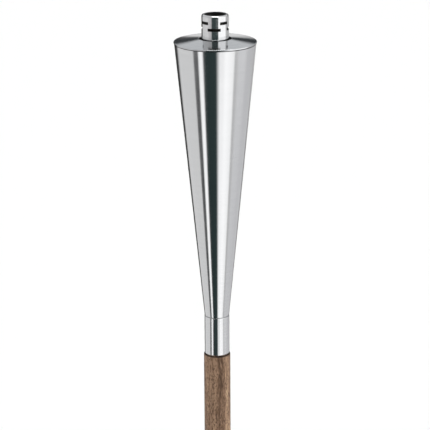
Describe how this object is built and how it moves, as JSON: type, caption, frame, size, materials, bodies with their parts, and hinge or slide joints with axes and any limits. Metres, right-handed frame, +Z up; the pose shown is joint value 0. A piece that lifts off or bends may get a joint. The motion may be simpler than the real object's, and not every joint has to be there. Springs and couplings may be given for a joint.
{
  "type": "garden torch",
  "caption": "Tall garden oil torch: slender steel cone with lift-out tank and slotted burner sleeve, on a round wooden pole that unscrews, with a steel ground spike.",
  "frame": {"origin": "on the torch's axis, where the ground spike leaves the foot ferrule and enters the soil", "axes": "+Z up along the torch from the spike to the burner; one lower slot of the burner sleeve faces -Y, the usual front; +X is to its right"},
  "size_m": [0.09, 0.09, 1.4445],
  "materials": {
    "spike_steel": "turned round bar, satin, slightly dull from use in soil",
    "ferrule_steel": "drawn cup, brushed round its axis",
    "screw_steel": "bright zinc-plated steel",
    "pole_wood": "oiled reddish-brown hardwood, straight grain along the pole, matt",
    "thread_steel": "zinc-plated threaded rod",
    "washer_steel": "stamped flat washer",
    "insert_brass": "machined brass bush",
    "collar_steel": "drawn stainless steel, brushed round its axis",
    "spigot_aluminium": "turned, black-anodised, satin",
    "cone_steel": "spun stainless steel, finely brushed round its axis, fairly glossy",
    "inner_steel": "plain mill-finish steel",
    "lid_steel": "stainless steel disc with fine circular brushing",
    "seal_rubber": "black heat-resistant silicone",
    "tank_steel": "tinned steel can",
    "plug_brass": "turned brass, lightly tarnished",
    "wick_fibre": "braided glass fibre, charred at its top",
    "sleeve_steel": "drawn stainless steel, brushed, glossy"
  },
  "bodies": {
    "foot": {"ground_spike": "spike_steel", "foot_ferrule": "ferrule_steel", "ferrule_screws": "screw_steel", "lower_pole": "pole_wood", "joint_stud": "thread_steel"},
    "washer": {"joint_washer": "washer_steel"},
    "pole_top": {"upper_pole": "pole_wood", "pole_insert": "insert_brass", "pole_collar": "collar_steel", "head_spigot": "spigot_aluminium", "spigot_screw": "screw_steel"},
    "head": {"cone_shell": "cone_steel", "base_socket": "inner_steel", "rim_ring": "inner_steel"},
    "tank": {"top_disc": "lid_steel", "lid_seal": "seal_rubber", "neck_spool": "inner_steel", "tank_cover": "tank_steel", "oil_tank": "tank_steel"},
    "burner": {"burner_plug": "plug_brass", "plug_seal": "seal_rubber", "wick_tube": "inner_steel"},
    "wick": {"wick": "wick_fibre"},
    "sleeve": {"burner_sleeve": "sleeve_steel"}
  },
  "joints": [
    {"name": "pole_rise", "type": "slide", "parent": "foot", "child": "washer", "axis": [0, 0, 1], "range_m": [0, 0.0211]},
    {"name": "pole_screw", "type": "hinge", "parent": "washer", "child": "pole_top", "pos_m": [0, 0, 0.4345], "axis": [0, 0, 1], "range_deg": [0, 4320]},
    {"name": "head_lift", "type": "slide", "parent": "pole_top", "child": "head", "axis": [0, 0, 1], "range_m": [0, 0.065]},
    {"name": "tank_lift", "type": "slide", "parent": "head", "child": "tank", "axis": [0, 0, 1], "range_m": [0, 0.15]},
    {"name": "burner_lift", "type": "slide", "parent": "tank", "child": "burner", "axis": [0, 0, 1], "range_m": [0, 0.14]},
    {"name": "wick_feed", "type": "slide", "parent": "burner", "child": "wick", "axis": [0, 0, 1], "range_m": [-0.006, 0.009]},
    {"name": "sleeve_lift", "type": "slide", "parent": "burner", "child": "sleeve", "axis": [0, 0, 1], "range_m": [0, 0.045]}
  ],
  "couplings": [
    {"joint": "pole_rise", "follows": "pole_screw", "m_per_rad": 0.00027852}
  ]
}
